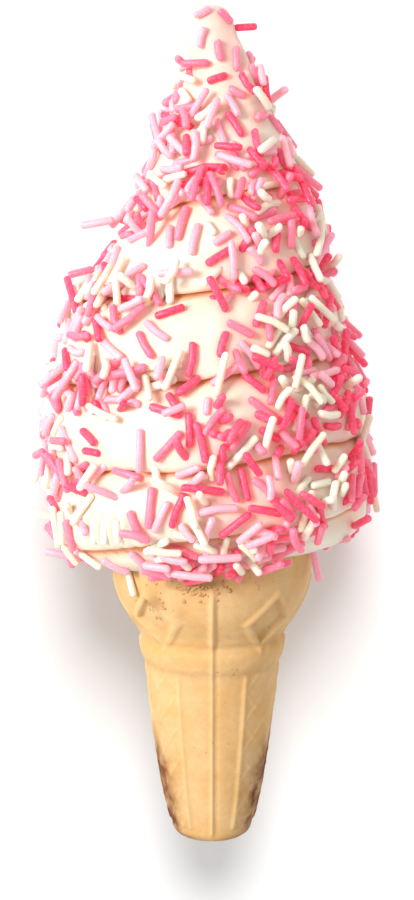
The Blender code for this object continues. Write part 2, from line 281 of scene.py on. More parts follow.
outline = wafer_outline()
wafer, around, along = sheet_of("wafer", WAFER_STEPS, len(outline) - 1)
row = np.round(along * (len(outline) - 1)).astype(int)
radius, height, moulded = outline[row].T
angle = around * math.tau - math.pi
flat_points = lying(radius, angle, height)
relief = moulded * wafer_relief(angle, height, np.maximum(radius, 1.0))
relief += moulded * sum(depth * grain(flat_points, fineness, seed)
                        for depth, fineness, seed in WALL_WAVES)
outline_steps = np.gradient(outline[:, :2], axis=0)
step_lengths = np.hypot(outline_steps[:, 0], outline_steps[:, 1])
outward = (outline_steps[:, 1] / step_lengths)[row]
upward = (-outline_steps[:, 0] / step_lengths)[row]
move_points(wafer, lying(radius + relief * outward, angle, height + relief * upward))

# Browning by the mould, with painted shade along the stem's two sides and in the waist grooves.
toast_and_shade = EDGE_SHADE * bump(np.abs(angle) - EDGE_SHADE_ANGLE, EDGE_SHADE_WIDTH)
toast_and_shade *= 1 - ease(height, *EDGE_SHADE_FADE)
toast_and_shade += HOT_BASE * (1 - ease(height, *HOT_BASE_FADES))
for amount, level, tall, middle, wide in BROWNED_SPOTS:
    toast_and_shade += amount * bump(height - level, tall) * bump(angle - middle, wide)
for amount, level, tall in GROOVE_SHADE_LINES:
    toast_and_shade += amount * bump(height - level, tall)
toast_and_shade = np.clip(toast_and_shade, 0, DARKEST_TOAST_AND_SHADE)
store(wafer, "toast_and_shade", toast_and_shade * (1 + 0.5 * grain(flat_points, 0.18, 3)))
store(wafer, "relief", relief)
edit(wafer, merge, face_outwards)
wafer.data.shade_smooth()


def new_material(name):
    """A new material, its node tree and its shader."""
    material = bpy.data.materials.new(name)
    material.use_nodes = True
    return material, material.node_tree, material.node_tree.nodes["Principled BSDF"]


def add_node(tree, kind, inputs=None, **settings):
    """A shader node with its settings, and its inputs set to values or linked to sockets."""
    node = tree.nodes.new(kind)
    for key, value in settings.items():
        setattr(node, key, value)
    for key, value in (inputs or {}).items():
        if isinstance(value, bpy.types.NodeSocket):
            tree.links.new(value, node.inputs[key])
        else:
            node.inputs[key].default_value = value
    return node


def mottle(tree, where, scale, detail=3.0, low=0.35, high=0.65):
    """Soft random patches from 0 to 1."""
    pattern = add_node(tree, "ShaderNodeTexNoise",
                       {"Vector": where, "Scale": scale, "Detail": detail, "Roughness": 0.55})
    spread = add_node(tree, "ShaderNodeMapRange",
                      {"Value": pattern.outputs[0], "From Min": low, "From Max": high})
    return spread.outputs[0]


def blend(tree, share, first, second):
    """Mix two colours; each is a colour or a socket."""
    mix = add_node(tree, "ShaderNodeMix", {0: share, 6: first, 7: second}, data_type="RGBA")
    return mix.outputs[2]


def scaled(tree, value, factor):
    """A socket's value times a number."""
    return add_node(tree, "ShaderNodeMath", {0: value, 1: factor}, operation="MULTIPLY").outputs[0]


def wafer_material():
    """Pale tan crumb with darker patches, fine specks and small open pores, browned by the mould and
    darkened with painted shade, and painted lighter on raised relief as a painted highlight.
    """
    material, tree, shader = new_material("wafer")
    where = add_node(tree, "ShaderNodeTexCoord").outputs["Object"]
    darkening = add_node(tree, "ShaderNodeAttribute", attribute_name="toast_and_shade").outputs["Fac"]
    raised = add_node(tree, "ShaderNodeAttribute", attribute_name="relief").outputs["Fac"]
    pale = (0.725, 0.475, 0.23, 1)
    tan = (0.655, 0.375, 0.13, 1)
    brown = (0.17, 0.05, 0.010, 1)
    patches = mottle(tree, where, 130, 4.0)
    crumb = mottle(tree, where, 900, 2.0, 0.3, 0.7)
    colour = blend(tree, scaled(tree, patches, 0.75), pale, tan)
    colour = blend(tree, scaled(tree, crumb, 0.22), colour, (0.59, 0.32, 0.115, 1))
    # Raised relief is painted lighter: a painted highlight along the frames, ribs and seam.
    high = add_node(tree, "ShaderNodeMapRange",
                    {"Value": raised, "From Min": 0.05, "From Max": 0.7, "To Max": 0.35}).outputs[0]
    colour = blend(tree, high, colour, (0.82, 0.585, 0.29, 1))
    dots = add_node(tree, "ShaderNodeTexVoronoi", {"Vector": where, "Scale": 420.0})
    speck = add_node(tree, "ShaderNodeMapRange",
                     {"Value": dots.outputs["Distance"], "From Min": 0.20, "From Max": 0.10,
                      "To Max": 0.28}).outputs[0]
    rare = mottle(tree, where, 90, 2.0, 0.5, 0.62)
    speck = add_node(tree, "ShaderNodeMath", {0: speck, 1: rare}, operation="MULTIPLY").outputs[0]
    colour = blend(tree, speck, colour, (0.36, 0.15, 0.04, 1))
    # Browning by the mould, and painted shade on the stem's two sides and in the waist grooves.
    burn_and_shade = add_node(tree, "ShaderNodeMath", {0: darkening, 1: mottle(tree, where, 260, 3.0, 0.1, 0.7)},
                    operation="MULTIPLY", use_clamp=True).outputs[0]
    colour = blend(tree, burn_and_shade, colour, brown)
    tree.links.new(colour, shader.inputs["Base Color"])
    rough = add_node(tree, "ShaderNodeMapRange",
                     {"Value": patches, "To Min": 0.62, "To Max": 0.82}).outputs[0]
    tree.links.new(rough, shader.inputs["Roughness"])
    shader.inputs["Specular IOR Level"].default_value = 0.2
    shader.inputs["Subsurface Weight"].default_value = 0.12
    shader.inputs["Subsurface Radius"].default_value = (1.0, 0.6, 0.3)
    shader.inputs["Subsurface Scale"].default_value = 1.2 * MM
    pores = add_node(tree, "ShaderNodeTexVoronoi", {"Vector": where, "Scale": 1500.0})
    pitted = add_node(tree, "ShaderNodeMapRange",
                      {"Value": pores.outputs["Distance"], "From Max": 0.3}).outputs[0]
    fine = add_node(tree, "ShaderNodeTexNoise", {"Vector": where, "Scale": 1800.0, "Detail": 4.0})
    height = add_node(tree, "ShaderNodeMath", {0: pitted, 1: fine.outputs[0]}).outputs[0]
    relief = add_node(tree, "ShaderNodeBump", {"Height": height, "Strength": 0.35,
                                               "Distance": 0.12 * MM})
    tree.links.new(relief.outputs[0], shader.inputs["Normal"])
    return material


wafer.data.materials.append(wafer_material())
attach(wafer, "root")
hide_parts("wafer_cone")


# ---------------------------------------------------------------------------------------------
# Toasted crumbs: flakes of browned batter that stayed on the wafer when it left the mould,
# most of them in a patch under the ice cream at the front.

CRUMB_PATCHES = (
    # number, angle, height, spread in degrees, spread in mm, size
    (50, -9, 67.2, 9, 1.4, 0.52), (9, 2, 66.6, 3, 0.9, 0.56), (18, -35, 63.6, 4, 2.0, 0.42),
    (5, -20, 45.2, 10, 0.4, 0.22), (7, 12, 45.0, 12, 0.5, 0.26), (10, 20, 68.5, 9, 1.4, 0.22),
)
CRUMB_SIZES = (0.5, 1.3)
CRUMB_PROUD = 0.02
CRUMB_THICKNESS = 0.35
CRUMB_UNEVENNESS = 0.3
CRUMB_STRETCH = (0.7, 1.2)
crumb_dice = np.random.default_rng(4)


def crumb_material():
    """Light brown crust, a little darker in patches."""
    material, tree, shader = new_material("toasted_crumb")
    where = add_node(tree, "ShaderNodeTexCoord").outputs["Object"]
    colour = blend(tree, mottle(tree, where, 600), (0.58, 0.34, 0.13, 1), (0.47, 0.24, 0.08, 1))
    tree.links.new(colour, shader.inputs["Base Color"])
    shader.inputs["Roughness"].default_value = 0.8
    return material


bpy.ops.mesh.primitive_ico_sphere_add(subdivisions=1, radius=1.0)
plain_crumb = bpy.context.object
ball = mesh_points(plain_crumb)
crumbs = []
for number, middle, level, wide, tall, size in CRUMB_PATCHES:
    for _ in range(number):
        degrees = middle + wide * crumb_dice.normal()
        height = level + tall * crumb_dice.normal()
        grown = size * crumb_dice.uniform(*CRUMB_SIZES)
        radius = float(curve(OUTER_WALL, height)) + CRUMB_PROUD * grown
        place = lying(np.array(radius), np.radians(degrees), np.array(height))
        crumb = plain_crumb.copy()
        crumb.data = plain_crumb.data.copy()
        bpy.context.scene.collection.objects.link(crumb)
        points = ball.copy()
        points *= 1 + CRUMB_UNEVENNESS * crumb_dice.normal(size=(len(points), 1)).clip(-1, 1)
        points[:, 2] *= CRUMB_THICKNESS
        about = np.radians(degrees)
        turned = np.stack([points[:, 0] * np.cos(about) + points[:, 2] * np.sin(about),
                           points[:, 1] * crumb_dice.uniform(*CRUMB_STRETCH),
                           points[:, 2] * np.cos(about) - points[:, 0] * np.sin(about)], axis=-1)
        move_points(crumb, place + turned * grown * MM)
        crumbs.append(crumb)
bpy.data.objects.remove(plain_crumb)
bpy.ops.object.select_all(action="DESELECT")
for crumb in crumbs:
    crumb.select_set(True)
bpy.context.view_layer.objects.active = crumbs[0]
bpy.ops.object.join()
toasted_crumbs = bpy.context.object
toasted_crumbs.name = "toasted_crumbs"
toasted_crumbs.data.name = "toasted_crumbs"
toasted_crumbs.data.shade_smooth()
toasted_crumbs.select_set(False)
toasted_crumbs.data.materials.append(crumb_material())
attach(toasted_crumbs, "root")


# ---------------------------------------------------------------------------------------------
# Ice cream: one soft rope from a nozzle, wound up and to the right in a screw and drawn out
# to a tail. It is frozen cream, so it is dense white with a damp sheen, lets light a little
# way in, and each coil sags over the one below. It fills the wafer and hangs over its rim.

PITCH = 19.6
FRONT_CREASE = 97.3
LIP_HEIGHT = 69.0
LIP_WAVE = 4.6
LIP_WAVE_ANGLE = math.radians(40)
LIP_WAVE_FADES = (80.0, 97.0)
LIP_LIFT = 4.5
LIP_LIFT_ANGLE = math.radians(-98)
LIP_LIFT_WIDTH = 0.6
TUCK_DEPTH = 3.5
TUCK_ANGLE = math.radians(-15)
TUCK_EDGE = 2.0
TAIL_FADES = (160.0, 182.0)
NUB_HEIGHT = 198.6
TIP_HEIGHT = 200.0
SMOOTH_ABOVE = 195.5
SMOOTH_TIMES = 6
CONTACT = 0.1
FILLING_LEVELS = (65.0, 53.0, 43.4, 23.0, 7.0)
SWIRL_RADIUS = ((67, 25.5), (69, 28.5), (71, 33), (74, 36.3), (78, 38), (85, 38.9), (98, 38.6),
                (110, 38.0), (120, 34.9), (131, 32.6), (138, 28.0), (146, 25.0), (155, 21.6),
                (163, 17.4), (172, 13.4), (180, 9.9), (186, 7.1), (191, 6.7), (195, 6.1),
                (198, 4.8), (199.4, 3.2), (200, 1.4))
SWIRL_LEAN = ((66, -2.0), (85, -0.3), (100, -1.9), (116, -1.6), (127, -3.0), (140, 0.2),
              (150, 2.8), (165, 2.4), (186, 2.0), (193, -0.5), (200, -0.8))
CREASE_DEPTH = ((66, 2.6), (110, 2.8), (135, 3.4), (150, 2.6), (165, 1.7), (178, 1.0), (187, 0.25),
                (192, 0.0))
COIL = ((-1.0, 0.0), (-0.55, 0.003), (-0.16, 0.06), (0.0, 0.18), (0.0, 0.33), (-0.08, 0.49),
        (-0.2, 0.65), (-0.36, 0.8), (-0.62, 0.92), (-1.0, 1.0))
RIDGE_ANGLE = ((150, 18), (160, 24), (178, 34), (190, 57), (200, 60))
RIDGE_HEIGHT = ((148, 0), (158, 1.1), (184, 1.3), (193, 0.5), (198, 0))
RIDGE_WIDTH = math.radians(15)
# Small folds where the lowest coil has slumped at the left. They are spaced as if there were
# this many in a whole turn.
FOLDS_ANGLE = math.radians(-39)
FOLDS_WIDTH = 0.30
FOLDS_HEIGHT = 81.5
FOLDS_HALF_HEIGHT = 3.6
FOLDS_IN_TURN = 62
FOLD_DEPTH = 1.4
FOLD_SHADE = 1.2
SLUMP_DEPTH = 0.7
# How uneven the cream is: depth in mm and fineness, with a seed for each of the lumps. They
# fade out where the swirl is thinner than the fade, in mm.
DIMPLES = ((0.7, 45), (0.35, 110))
DIMPLES_FADE = 15
LUMPS = ((0.42, 0.11, 5), (0.14, 0.33, 6))
LUMPS_FADE = 14
# How the coils wander, across the swirl and along it: distance in mm, fineness, seed.
SWAY_ACROSS = (0.35, 0.05, 7)
SWAY_ALONG = ((1.4, 0.05, 8), (0.55, 0.16, 9))
SWAY_STARTS = (73, 84)
SWAY_ENDS = (176, 192)
ROPE_TURNS = 9
ROPE_STEPS = 360
COIL_ROWS = 28


def rope_thread():
    """The rope as a plain screw thread, cut square at the lip and at the nub."""
    item, share, across = sheet_of("soft_serve", ROPE_TURNS * ROPE_STEPS, COIL_ROWS)
    depth_at = [(i / (len(COIL) - 1), depth) for i, (depth, _) in enumerate(COIL)]
    rise_at = [(i / (len(COIL) - 1), rise) for i, (_, rise) in enumerate(COIL)]
    depth = curve(depth_at, across)
    wound = share * ROPE_TURNS
    rise = curve(rise_at, across)
    rise += (across - rise) * ease(FRONT_CREASE + PITCH * (wound - 3), *TAIL_FADES)
    height = FRONT_CREASE + PITCH * (wound - 3 + rise)
    angle = wound * math.tau
    side = 100 + depth * PITCH
    points = np.stack([side * np.sin(angle), -side * np.cos(angle), height], axis=-1)
    move_points(item, points * MM)
    keep_above = {"plane_co": (0, 0, LIP_HEIGHT * MM), "plane_no": (0, 0, 1)}
    keep_below = {"plane_co": (0, 0, NUB_HEIGHT * MM), "plane_no": (0, 0, 1)}

    def cut_lip():
        bpy.ops.mesh.bisect(**keep_above, clear_inner=True, threshold=0.000001)
        bpy.ops.mesh.select_all(action="SELECT")

    def cut_nub():
        bpy.ops.mesh.bisect(**keep_below, clear_outer=True, threshold=0.000001)

    edit(item, merge, cut_lip, cut_nub)
    return item


def swirl(points):
    """Where points of the plain thread lie on the real swirl: radius, angle, height, creases."""
    height = points[:, 2] / MM
    angle = np.arctan2(points[:, 0], -points[:, 1])
    depth = (np.hypot(points[:, 0], points[:, 1]) / MM - 100) / PITCH
    radius = curve(SWIRL_RADIUS, height) + depth * curve(CREASE_DEPTH, height)
    ridge = turn(angle - np.radians(curve(RIDGE_ANGLE, height)))
    radius += curve(RIDGE_HEIGHT, height) * bump(ridge, RIDGE_WIDTH)
    place = np.stack([radius * np.sin(angle), -radius * np.cos(angle), height], axis=-1) * MM
    fade = np.minimum(1.0, radius / DIMPLES_FADE)
    for dimple, fineness in DIMPLES:
        radius += fade * dimple * np.array([noise.noise(Vector(p) * fineness) for p in place])
    crease = FRONT_CREASE - PITCH + PITCH * angle / math.tau
    below = np.clip((crease - height) / TUCK_EDGE, 0, 1)
    radius -= TUCK_DEPTH * below * np.maximum(0, np.cos(angle - TUCK_ANGLE)) ** 2
    full, none = LIP_WAVE_FADES
    low = np.clip((none - height) / (none - full), 0, 1)
    height = height + LIP_WAVE * low * np.cos(angle - LIP_WAVE_ANGLE)
    height += LIP_LIFT * low * bump(turn(angle - LIP_LIFT_ANGLE), LIP_LIFT_WIDTH)
    return radius, angle, height, -depth


def close_ring(item, rings):
    """Extrude an open end of the mesh through rings given as functions of angle and height."""
    bpy.ops.object.select_all(action="DESELECT")
    item.select_set(True)
    bpy.context.view_layer.objects.active = item
    for ring in rings:
        bpy.ops.object.mode_set(mode="EDIT")
        bpy.ops.mesh.extrude_region_move()
        bpy.ops.object.mode_set(mode="OBJECT")
        chosen = np.array([v.select for v in item.data.vertices])
        points = mesh_points(item)
        offset = points[chosen] - np.array(base)
        radius, height = ring(np.hypot(offset[:, 0], offset[:, 2]) / MM, offset[:, 1] / MM)
        points[chosen] = lying(radius, np.arctan2(offset[:, 0], offset[:, 2]), height)
        move_points(item, points)
    bpy.ops.object.mode_set(mode="EDIT")
    bpy.ops.mesh.merge(type="CENTER")
    bpy.ops.object.mode_set(mode="OBJECT")


def select_open_end(item, top):
    """Select the open edges at one end of the mesh."""
    bpy.ops.object.select_all(action="DESELECT")
    item.select_set(True)
    bpy.context.view_layer.objects.active = item
    bpy.ops.object.mode_set(mode="EDIT")
    bpy.ops.mesh.select_mode(type="VERT")
    bpy.ops.mesh.select_all(action="DESELECT")
    bpy.ops.mesh.select_non_manifold()
    bpy.ops.object.mode_set(mode="OBJECT")
    points = mesh_points(item)
    wrong_end = (points[:, 1] > base.y + 130 * MM) != top
    for vertex in item.data.vertices:
        vertex.select = vertex.select and not wrong_end[vertex.index]
    for line in item.data.edges:
        line.select = line.select and not wrong_end[line.vertices[0]]
    bpy.ops.object.mode_set(mode="EDIT")
    bpy.ops.mesh.select_mode(type="EDGE")
    bpy.ops.object.mode_set(mode="OBJECT")


cream = rope_thread()
radius, angle, height, in_crease = swirl(mesh_points(cream))
lean = curve(SWIRL_LEAN, height)
points = lying(radius, angle, height)
soft = np.minimum(1.0, radius / LUMPS_FADE)
radius += soft * sum(depth * grain(points, fineness, seed) for depth, fineness, seed in LUMPS)
folds = bump(turn(angle - FOLDS_ANGLE), FOLDS_WIDTH) * bump(height - FOLDS_HEIGHT, FOLDS_HALF_HEIGHT)
radius -= folds * (SLUMP_DEPTH + FOLD_DEPTH * np.sin(angle * FOLDS_IN_TURN))
points = lying(radius, angle, height)
sway = ease(height, *SWAY_STARTS) * (1 - ease(height, *SWAY_ENDS))
distance, fineness, seed = SWAY_ACROSS
points[:, 0] += (lean + distance * sway * grain(points, fineness, seed)) * MM
points[:, 1] += sway * sum(distance * grain(points, fineness, seed)
                           for distance, fineness, seed in SWAY_ALONG) * MM
move_points(cream, points)
in_fold = folds * np.maximum(0, np.sin(angle * FOLDS_IN_TURN))
# How deep each point lies in a crease or fold, for the painted shade there.
store(cream, "crease", in_crease * (1 - ease(height, *TAIL_FADES)) + FOLD_SHADE * in_fold)


def outer_at(height):
    """The wafer's outside, in mm from the axis."""
    return curve(OUTER_WALL, height)


def inner_ring(level):
    """A ring just clear of the wafer's inside at one height."""
    radius_there = curve(OUTER_WALL, level) - WALL - CONTACT
    return lambda radius, height: (radius_there + 0 * radius, level + 0 * height)


mouth = [
    lambda radius, height: (outer_at(height) + CONTACT, height),
    lambda radius, height: (outer_at(RIM_HEIGHT - 1) + CONTACT, RIM_HEIGHT - 1 + 0 * height),
    lambda radius, height: (outer_at(RIM_HEIGHT) - WALL / 2 + 0 * radius,
                            RIM_HEIGHT + CONTACT + 0 * height),
]
for level in (RIM_HEIGHT - 1, *FILLING_LEVELS, FLOOR_THICKNESS + CONTACT):
    mouth.append(inner_ring(level))
select_open_end(cream, top=False)
close_ring(cream, mouth)
select_open_end(cream, top=True)
close_ring(cream, [lambda radius, height: (radius * 0.85, height + 0.75),
                   lambda radius, height: (radius * 0.65, height + 0.4),
                   lambda radius, height: (radius * 0.3, TIP_HEIGHT + 0 * height)])
points = mesh_points(cream)
points[:, 2] = np.maximum(points[:, 2], 0.0)
move_points(cream, points)


def smooth_tip():
    """Soften the tip, where the cream broke from the nozzle."""
    bpy.ops.mesh.select_all(action="DESELECT")
    bpy.ops.object.mode_set(mode="OBJECT")
    for vertex in cream.data.vertices:
        vertex.select = vertex.co.y > base.y + SMOOTH_ABOVE * MM
    bpy.ops.object.mode_set(mode="EDIT")
    bpy.ops.mesh.vertices_smooth(factor=0.5, repeat=SMOOTH_TIMES)


edit(cream, face_outwards, smooth_tip)
cream.data.shade_smooth()


def cream_material():
    """Warm white with painted shade in the creases and folds; pink round the strands, partly their
    colour run into it and partly painted bounce light, and painted shade low at the front.
    """
    material, tree, shader = new_material("soft_serve")
    where = add_node(tree, "ShaderNodeTexCoord").outputs["Object"]
    crease = add_node(tree, "ShaderNodeAttribute", attribute_name="crease").outputs["Fac"]
    blush = add_node(tree, "ShaderNodeAttribute", attribute_name="blush").outputs["Fac"]
    patches = mottle(tree, where, 60, 3.0)
    colour = blend(tree, scaled(tree, patches, 0.7), (0.87, 0.785, 0.665, 1), (0.83, 0.685, 0.54, 1))
    # Painted shade: warm tan in the creases and folds, dark orange at the bottom of the creases.
    crease_shade = add_node(tree, "ShaderNodeMapRange",
                      {"Value": crease, "From Min": 0.2, "From Max": 0.75, "To Max": 0.6}).outputs[0]
    colour = blend(tree, crease_shade, colour, (0.94, 0.70, 0.47, 1))
    deepest_crease_shade = add_node(tree, "ShaderNodeMapRange",
                       {"Value": crease, "From Min": 0.62, "From Max": 0.85, "To Max": 0.9}).outputs[0]
    colour = blend(tree, deepest_crease_shade, colour, (0.70, 0.24, 0.04, 1))
    # Pink from the strands' run colouring and on the tail, with painted pink light bounced from the
    # strands and painted shade under the front overhang.
    colour = blend(tree, scaled(tree, blush, 0.5), colour, (0.97, 0.52, 0.45, 1))
    tree.links.new(colour, shader.inputs["Base Color"])
    rough = add_node(tree, "ShaderNodeMapRange",
                     {"Value": patches, "To Min": 0.36, "To Max": 0.52}).outputs[0]
    tree.links.new(rough, shader.inputs["Roughness"])
    shader.inputs["Specular IOR Level"].default_value = 0.4
    shader.inputs["Subsurface Weight"].default_value = 0.45
    shader.inputs["Subsurface Radius"].default_value = (1.0, 0.55, 0.3)
    shader.inputs["Subsurface Scale"].default_value = 3.0 * MM
    fine = add_node(tree, "ShaderNodeTexNoise", {"Vector": where, "Scale": 700.0, "Detail": 4.0})
    relief = add_node(tree, "ShaderNodeBump", {"Height": fine.outputs[0], "Strength": 0.12,
                                               "Distance": 0.3 * MM})
    tree.links.new(relief.outputs[0], shader.inputs["Normal"])
    return material


cream.data.materials.append(cream_material())
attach(cream, "root")
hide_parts("ice_cream")


# ---------------------------------------------------------------------------------------------
# Sugar strands: short blunt rods of coloured sugar paste, pressed into the soft ice cream as
# they land. They catch in the creases and pile up where they slid together, and a few stand
# on end or hang from the lowest coil.

STRAND_RADIUS = 0.9
STRAND_SIDES = 8
STRAND_RINGS = 6
THICKNESS_SPREAD = 0.07
STRAND_LENGTH = 7.5
LENGTH_SPREAD = 1.6
SHORTEST = 3.4
LONGEST = 11.0
SPINE_POINTS = 9
CLOSEST = 1.76 * STRAND_RADIUS
NEIGHBOURHOOD = 12
# A placed strand: how far it may be bowed, pressed in and raised by others.
PLACED_BOW = 0.25
PLACED_SINK = 0.25
PLACED_MOST_RAISED = 6.0
# A strewn strand: the same, and where the strewing stops.
STREWN_TRIES = 57000
STREWN_HEIGHTS = (70, 188)
STREWN_BOW = 0.4
STREWN_SINK = (0.15, 0.7)
SINK_AT_SIDES = 0.4
MOST_RAISED = 3.6
MOST_RAISED_AT_SIDES = 0.5
LOWEST_TOUCH = 71
LOWEST_END = 68
HIGHEST_END = 6.0
GROUND_GAP = 0.2
# Level strands roll steeper, and a few strands stand with one end in the cream.
LEVEL_SLANT = 60
ROLLING_CHANCE = 0.35
STANDING_CHANCE = 0.04
STANDING_CHANCE_IF_CREAM = 0.35
STANDING_SLOPE = (0.5, 1.25)
STANDING_SHIFT = 0.30
SUGAR_SLOTS = {"deep": "deep_pink_sugar", "mid": "mid_pink_sugar", "pale": "pale_pink_sugar",
               "cream": "cream_sugar"}
# Shares of the four colours on the left, on the right and on the tail. The paler mix on the
# left is partly painted light, for the side the lamp lights most.
LEFT_MIX = {"deep": 0.15, "mid": 0.19, "pale": 0.44, "cream": 0.22}
RIGHT_MIX = {"deep": 0.39, "mid": 0.25, "pale": 0.21, "cream": 0.15}
TAIL_MIX = {"deep": 0.16, "mid": 0.24, "pale": 0.42, "cream": 0.18}
TAIL_HEIGHTS = (158, 168)
LEFT_TO_RIGHT = (-0.65, 0.35)
CREAM_SHARE = 0.4
# How thickly strands lie outside the spots below, what counts as full cover, how much a spot
# adds or takes away, and the radius at which the chance is not reduced.
COVER = 0.31
FULL_COVER = 3.2
THICK_GAIN = 1.3
BARENESS = 0.93
WIDEST = 39

# Where the ice cream shows bare: angle, height, half-width in degrees, half-height in mm.
BARE_SPOTS = (
    (-8, 190, 45, 7), (48, 174, 16, 8), (10, 181, 9, 6),
    (-14, 143, 24, 5.5), (-38, 143, 10, 4), (6, 151.5, 10, 2.5), (38, 141, 15, 4.5),
    (-4, 127, 15, 7.5), (-28, 122, 7, 5), (20, 133, 8, 3),
    (-28, 105, 17, 6.5), (7, 112, 9, 4.5), (55, 102, 9, 5.5), (-48, 107, 8, 3),
    (27, 95, 14, 3.8), (-30, 92, 17, 5), (-36, 80, 16, 9), (54, 80, 15, 6.5), (-12, 92, 8, 3),
    (-55, 88, 8, 3), (-40, 74, 14, 7), (64, 76.5, 36, 9),
)
# Where strands have gathered: angle, height, half-width, half-height, how thickly.
THICK_SPOTS = (
    (0, 157, 75, 4.5, 2.4), (22, 159, 20, 7, 4.0), (0, 171, 70, 9, 1.1), (30, 148, 18, 5, 1.6),
    (-25, 166, 30, 8, 0.5), (65, 150, 14, 9, 1.2), (-55, 134, 20, 6, 1.2), (45, 131, 35, 8, 1.5),
    (28, 126, 14, 6, 1.0), (45, 115, 30, 8, 3.2), (-42, 113, 16, 5, 1.8), (-5, 103, 12, 5, 1.4),
    (22, 106, 18, 6, 1.7), (20, 87, 22, 6, 1.3), (42, 90, 12, 5, 1.2), (-2, 75, 28, 5, 1.2),
    (-52, 95, 20, 3.5, 0.9), (-68, 80, 12, 8, 1.0), (70, 92, 10, 10, 0.6), (-70, 103, 14, 8, 0.6),
)
# Where cream-coloured strands, standing more on end, lie together.
CREAM_SPOTS = (
    (28, 148, 16, 5), (27, 126, 10, 5), (35, 111, 10, 2), (42, 91, 7, 4), (-12, 90, 16, 6),
    (-60, 86, 10, 10), (-28, 134, 14, 4),
)
# The strands that catch the eye: kind, angle, height, slant from upright to the right, length.
PLACED_STRANDS = (
    ("deep", 3, 143, 58, 7), ("pale", 9, 142, -2, 9), ("pale", 5.5, 147, 54, 5),
    ("mid", -17.5, 150, 4, 8.5), ("pale", -9, 146.5, 2, 8), ("pale", -24, 147, -12, 6),
    ("pale", -48, 147, 60, 7), ("deep", 33, 146, 15, 5), ("deep", 42, 137, 0, 8),
    ("cream", 38, 158, 80, 6), ("cream", 11.5, 158, 0, 5), ("mid", -24.5, 124, -34, 7),
    ("deep", -7.5, 121, 8, 8), ("pale", -21, 127, -53, 7), ("deep", -17, 131, 68, 7),
    ("deep", -2.5, 135.5, 5, 5), ("mid", 10.5, 127.5, -60, 7), ("deep", -8.5, 114.5, 47, 6.8),
    ("pale", 5, 118.5, 50, 9), ("mid", 9, 116.5, -10, 7.5), ("deep", 15, 115.5, -45, 6.5),
    ("mid", 21.5, 114, 20, 7.5), ("pale", 38, 117, 88, 8), ("deep", 36, 122.5, -72, 6),
    ("deep", 46, 105, -84, 6), ("pale", -24, 101, 0, 10), ("mid", -14.5, 102.3, 42, 9),
    ("deep", -7.5, 106, -2, 8), ("deep", -3.5, 103.4, -14, 9.5), ("mid", 0.5, 108, 37, 7.5),
    ("mid", 9, 104.5, 36, 8), ("cream", 9.5, 101, 42, 10), ("cream", -0.5, 98.5, 2, 6.5),
    ("pale", -8, 97.3, 58, 6.8), ("mid", -30, 94.8, -78, 7.5), ("mid", -50, 95.6, 68, 8),
    ("deep", -43.5, 103, -62, 6), ("mid", 6, 93, -22, 7), ("deep", 12.5, 96.4, -42, 6),
    ("pale", 22, 96.5, 2, 6.5), ("deep", 7.5, 85, 48, 9), ("deep", 17, 88, -77, 8.5),
    ("deep", 21.5, 88.7, -40, 8.5), ("pale", 1.5, 88.5, 83, 9), ("mid", -20.5, 88.3, 3, 9.5),
    ("pale", -17, 86.5, 25, 8), ("cream", -6, 88, -18, 7.5), ("cream", -19.5, 95.7, -18, 6),
    ("cream", 39, 92.5, 84, 6), ("cream", 43, 89.5, 2, 7), ("deep", 62, 85, -20, 7),
    ("cream", -48, 86, 38, 10), ("cream", -63, 80, -5, 8), ("deep", 3, 73, 3, 7.5),
    ("pale", 20, 75, 37, 8), ("mid", -58, 79, -8, 8), ("mid", -80, 76, -32, 8),
    ("cream", -46, 81.5, 0, 6.5), ("cream", -40.5, 82, 4, 6.5), ("cream", -32, 82.2, -5, 5.5),
    ("pale", -20, 192, 14, 5), ("mid", 12, 189, -10, 5), ("pale", -25, 197.3, 62, 4.5),
    ("mid", 32, 196.6, -45, 4.5),
    ("mid", 40, 187, 5, 6), ("deep", 8, 182.5, 70, 5), ("deep", 42, 181, -35, 6),
    ("mid", -34, 176, 84, 7), ("pale", -12, 176.5, 30, 8), ("deep", 22, 172, -30, 7),
    ("cream", -38, 178.5, -55, 6), ("mid", 50, 174, 80, 5), ("cream", 46, 178, -48, 7),
)
# Strands that stand out from the edge or hang from it: kind, angle, radius, height of one
# end, then of the other.
LOOSE_STRANDS = (
    ("pale", -84, 23, 150.5, -88, 31, 149), ("mid", -86, 37, 97, -89, 43, 94),
    ("mid", -80, 35.5, 75, -78, 34, 68), ("mid", -64, 35, 78, -60, 33, 71),
    ("pale", 66, 25.5, 75, 68, 27.5, 65.5), ("cream", -52, 25.2, 70, -47, 25, 63.5),
    ("deep", 82, 5, 194.5, 84, 10.5, 194.8), ("mid", -84, 28, 139, -86, 34, 137.5),
)
dice = np.random.default_rng(20)
bpy.context.view_layer.update()
surface = BVHTree.FromObject(cream, bpy.context.evaluated_depsgraph_get())


def nearness(spot, angle, height):
    """1 in the middle of a spot, 0 well outside it."""
    middle, level, wide, tall = spot[:4]
    across = math.degrees(turn(angle - math.radians(middle))) / wide
    return math.exp(-((across**2 + ((height - level) / tall) ** 2) ** 2) * 0.7)


def sprinkled(angle, height):
    """How thickly the strands lie, from 0 to about 3, at an angle and height on the swirl."""
    cover = COVER + sum(THICK_GAIN * spot[4] * nearness(spot, angle, height) for spot in THICK_SPOTS)
    for spot in BARE_SPOTS:
        cover *= 1 - BARENESS * nearness(spot, angle, height)
    return cover


def on_swirl(angle, height):
    """The point and the outward direction of the ice cream at an angle and height."""
    out = Vector((math.sin(angle), 0.0, math.cos(angle)))
    centre = Vector((base.x, base.y + height * MM, base.z))
    point, normal, _, _ = surface.ray_cast(centre + out * 60 * MM, -out)
    return point, normal


def surface_heights(line):
    """How far each point of a line stands out of the ice cream, in mm."""
    heights = []
    for point in line:
        nearest, out, _, _ = surface.find_nearest(Vector(point))
        heights.append((Vector(point) - nearest).dot(out) / MM)
    return np.array(heights)


